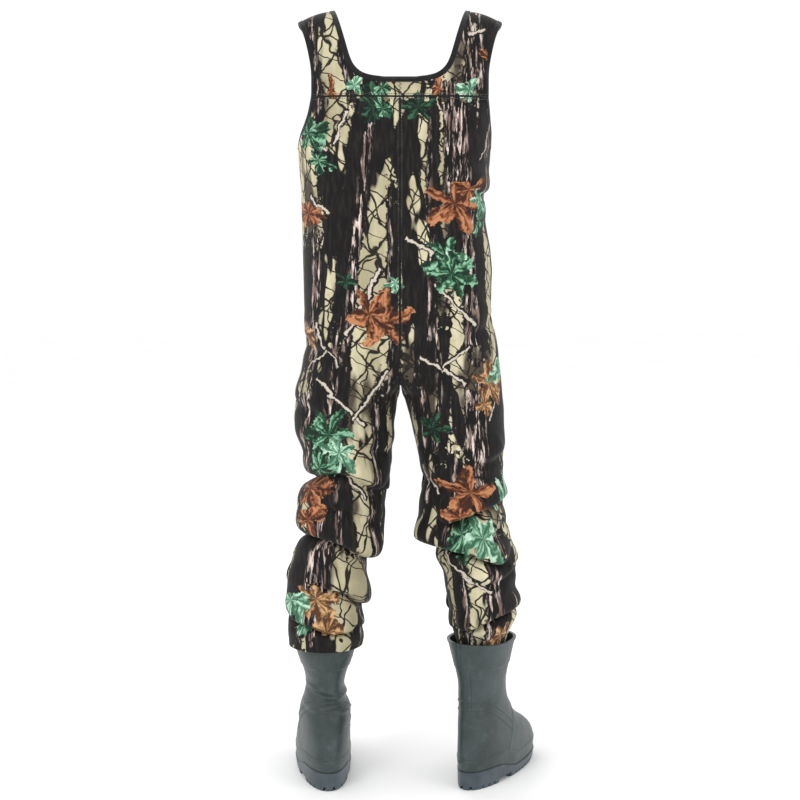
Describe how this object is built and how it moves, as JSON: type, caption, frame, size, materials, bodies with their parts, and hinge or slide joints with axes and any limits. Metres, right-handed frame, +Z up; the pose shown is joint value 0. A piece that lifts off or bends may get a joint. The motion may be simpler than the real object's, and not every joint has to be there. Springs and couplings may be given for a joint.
{
  "type": "chest waders",
  "caption": "Camouflage neoprene chest waders with joined rubber boots, a bib pocket, wide shoulder straps and side-release buckles, shown standing as worn.",
  "frame": {"origin": "on the floor, under the middle of the whole object's box", "axes": "+Z up the standing wearer; -Y the way the wearer faces; +X towards the wearer's left"},
  "size_m": [0.4736, 0.3496, 1.4509],
  "materials": {
    "camo_neoprene": "camouflage jersey over closed-cell neoprene",
    "camo_knee_pad": "printed reinforcement layer",
    "black_binding": "matt elastic binding",
    "black_webbing": "woven webbing",
    "seam_tape": "bonded tape",
    "hook_and_loop": "hook and loop tape",
    "buckle_plastic": "moulded, fine texture",
    "ring_metal": "plated wire",
    "boot_rubber": "matt moulded rubber",
    "outsole_rubber": "matt moulded rubber",
    "boot_lining": "felted lining",
    "insole": "felted insole"
  },
  "bodies": {
    "upper_garment": {"back_panel_left": "camo_neoprene", "back_panel_right": "camo_neoprene", "front_panel_left": "camo_neoprene", "front_panel_right": "camo_neoprene", "back_yoke_strap_left": "camo_neoprene", "back_yoke_strap_right": "camo_neoprene", "neck_binding": "black_binding", "armhole_binding_left": "black_binding", "armhole_binding_right": "black_binding", "bib_top_binding": "black_binding", "centre_back_seam_tape": "seam_tape", "centre_front_seam_tape": "seam_tape", "knee_pad_left": "camo_knee_pad", "knee_pad_right": "camo_knee_pad", "strap_webbing_left": "black_webbing", "strap_webbing_right": "black_webbing", "buckle_socket_left": "buckle_plastic", "buckle_socket_right": "buckle_plastic", "buckle_tab_left": "black_webbing", "buckle_tab_right": "black_webbing", "chest_pocket": "camo_neoprene", "pocket_loop_tape": "hook_and_loop", "d_ring_tab": "black_webbing"},
    "left_lower_leg": {"shin_back_panel_left": "camo_neoprene", "shin_front_panel_left": "camo_neoprene", "boot_seal_tape_left": "seam_tape", "boot_upper_left": "boot_rubber", "boot_outsole_left": "outsole_rubber", "boot_insole_left": "insole", "boot_lining_left": "boot_lining"},
    "right_lower_leg": {"shin_back_panel_right": "camo_neoprene", "shin_front_panel_right": "camo_neoprene", "boot_seal_tape_right": "seam_tape", "boot_upper_right": "boot_rubber", "boot_outsole_right": "outsole_rubber", "boot_insole_right": "insole", "boot_lining_right": "boot_lining"},
    "left_buckle_plug": {"buckle_plug_left": "buckle_plastic"},
    "right_buckle_plug": {"buckle_plug_right": "buckle_plastic"},
    "pocket_flap": {"pocket_flap": "camo_neoprene", "flap_hook_tape": "hook_and_loop"},
    "d_ring": {"d_ring": "ring_metal"}
  },
  "joints": [
    {"name": "left_knee", "type": "hinge", "parent": "upper_garment", "child": "left_lower_leg", "pos_m": [0.14305, 0.05262, 0.5], "axis": [1, 0, 0], "range_deg": [0, 70]},
    {"name": "right_knee", "type": "hinge", "parent": "upper_garment", "child": "right_lower_leg", "pos_m": [-0.08295, 0.05262, 0.5], "axis": [1, 0, 0], "range_deg": [0, 70]},
    {"name": "left_buckle_release", "type": "slide", "parent": "upper_garment", "child": "left_buckle_plug", "axis": [0, 0.2874, 0.9578], "range_m": [0, 0.03]},
    {"name": "right_buckle_release", "type": "slide", "parent": "upper_garment", "child": "right_buckle_plug", "axis": [0, 0.2874, 0.9578], "range_m": [0, 0.03]},
    {"name": "pocket_flap_hinge", "type": "hinge", "parent": "upper_garment", "child": "pocket_flap", "pos_m": [0.03005, -0.07038, 1.197], "axis": [-1, 0, 0], "range_deg": [0, 85]},
    {"name": "d_ring_swing", "type": "hinge", "parent": "upper_garment", "child": "d_ring", "pos_m": [-0.03195, -0.07028, 1.226], "axis": [-1, 0, 0], "range_deg": [0, 150]}
  ]
}
